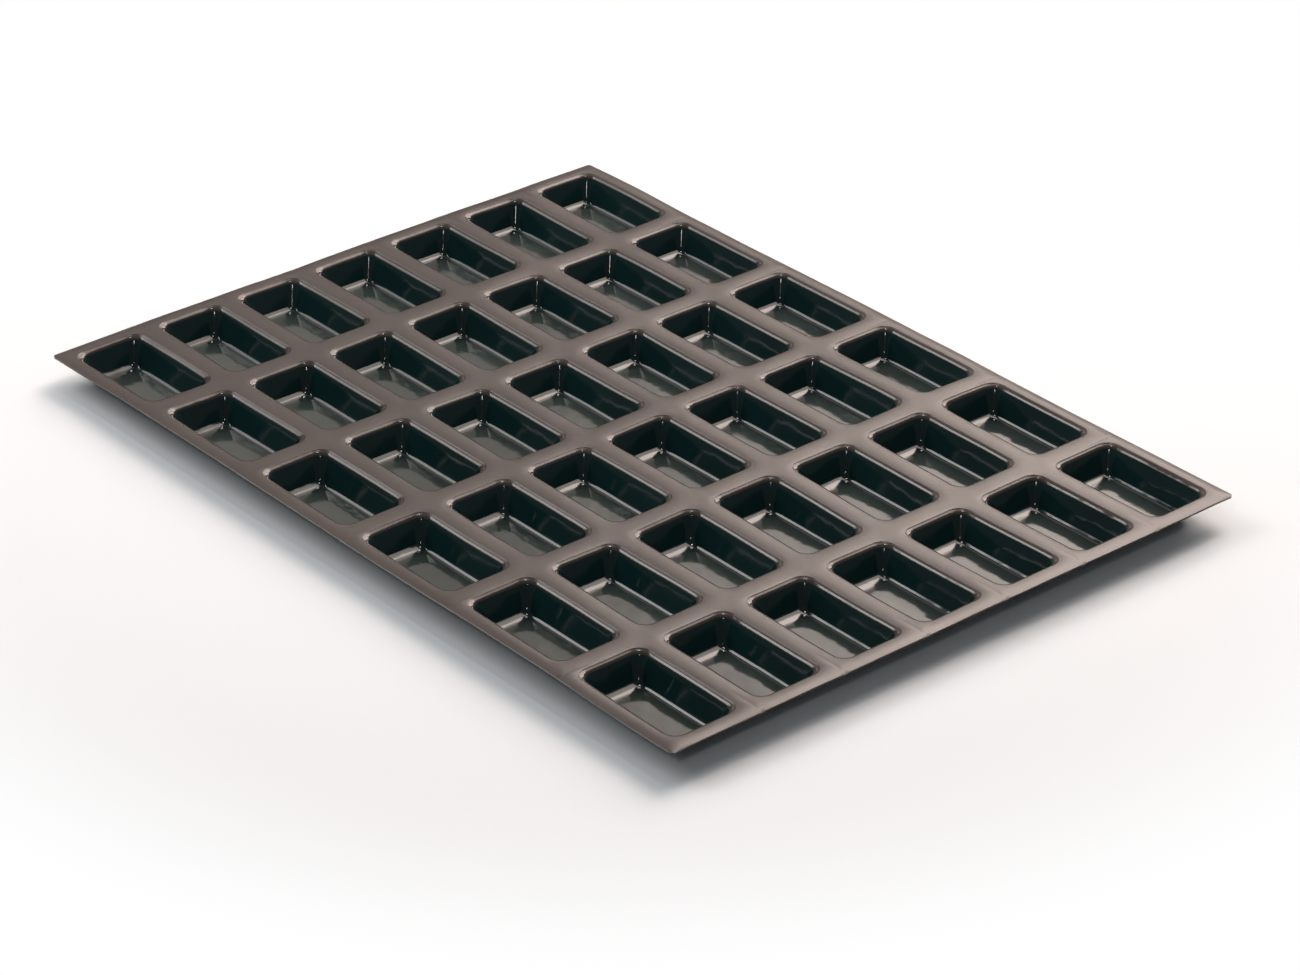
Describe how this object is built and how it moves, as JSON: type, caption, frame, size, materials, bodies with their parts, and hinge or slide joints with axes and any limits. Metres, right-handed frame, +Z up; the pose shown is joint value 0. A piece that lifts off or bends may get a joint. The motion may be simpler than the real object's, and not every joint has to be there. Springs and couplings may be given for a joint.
{
  "type": "silicone baking mould",
  "caption": "Thin dark flexible sheet with a grid of rectangular tapered pockets for baking small oblong cakes; it flexes along the flat webs between its rows.",
  "frame": {"origin": "under the middle of the sheet, on the surface that the pockets stand on", "axes": "+X along the sheet's length, from row 1 to row 6, +Y across it, +Z up out of the pockets' mouths"},
  "size_m": [0.455, 0.33, 0.0142],
  "materials": {
    "silicone": "satin to glossy moulded silicone, near-black brown"
  },
  "bodies": {
    "row_1": {"sheet_row_1": "silicone", "pocket_1_1": "silicone", "pocket_1_2": "silicone", "pocket_1_3": "silicone", "pocket_1_4": "silicone", "pocket_1_5": "silicone", "pocket_1_6": "silicone", "pocket_1_7": "silicone"},
    "row_2": {"sheet_row_2": "silicone", "pocket_2_1": "silicone", "pocket_2_2": "silicone", "pocket_2_3": "silicone", "pocket_2_4": "silicone", "pocket_2_5": "silicone", "pocket_2_6": "silicone", "pocket_2_7": "silicone"},
    "row_3": {"sheet_row_3": "silicone", "pocket_3_1": "silicone", "pocket_3_2": "silicone", "pocket_3_3": "silicone", "pocket_3_4": "silicone", "pocket_3_5": "silicone", "pocket_3_6": "silicone", "pocket_3_7": "silicone"},
    "row_4": {"sheet_row_4": "silicone", "pocket_4_1": "silicone", "pocket_4_2": "silicone", "pocket_4_3": "silicone", "pocket_4_4": "silicone", "pocket_4_5": "silicone", "pocket_4_6": "silicone", "pocket_4_7": "silicone"},
    "row_5": {"sheet_row_5": "silicone", "pocket_5_1": "silicone", "pocket_5_2": "silicone", "pocket_5_3": "silicone", "pocket_5_4": "silicone", "pocket_5_5": "silicone", "pocket_5_6": "silicone", "pocket_5_7": "silicone"},
    "row_6": {"sheet_row_6": "silicone", "pocket_6_1": "silicone", "pocket_6_2": "silicone", "pocket_6_3": "silicone", "pocket_6_4": "silicone", "pocket_6_5": "silicone", "pocket_6_6": "silicone", "pocket_6_7": "silicone"}
  },
  "joints": [
    {"name": "flex_2_3", "type": "hinge", "parent": "row_3", "child": "row_2", "pos_m": [-0.075, 0, 0.0136], "axis": [0, 1, 0], "range_deg": [-25, 25], "stiffness_Nm_per_rad": 0.12},
    {"name": "flex_1_2", "type": "hinge", "parent": "row_2", "child": "row_1", "pos_m": [-0.15, 0, 0.0136], "axis": [0, 1, 0], "range_deg": [-25, 25], "stiffness_Nm_per_rad": 0.12},
    {"name": "flex_3_4", "type": "hinge", "parent": "row_3", "child": "row_4", "pos_m": [0, 0, 0.0136], "axis": [0, -1, 0], "range_deg": [-25, 25], "stiffness_Nm_per_rad": 0.12},
    {"name": "flex_4_5", "type": "hinge", "parent": "row_4", "child": "row_5", "pos_m": [0.075, 0, 0.0136], "axis": [0, -1, 0], "range_deg": [-25, 25], "stiffness_Nm_per_rad": 0.12},
    {"name": "flex_5_6", "type": "hinge", "parent": "row_5", "child": "row_6", "pos_m": [0.15, 0, 0.0136], "axis": [0, -1, 0], "range_deg": [-25, 25], "stiffness_Nm_per_rad": 0.12}
  ]
}
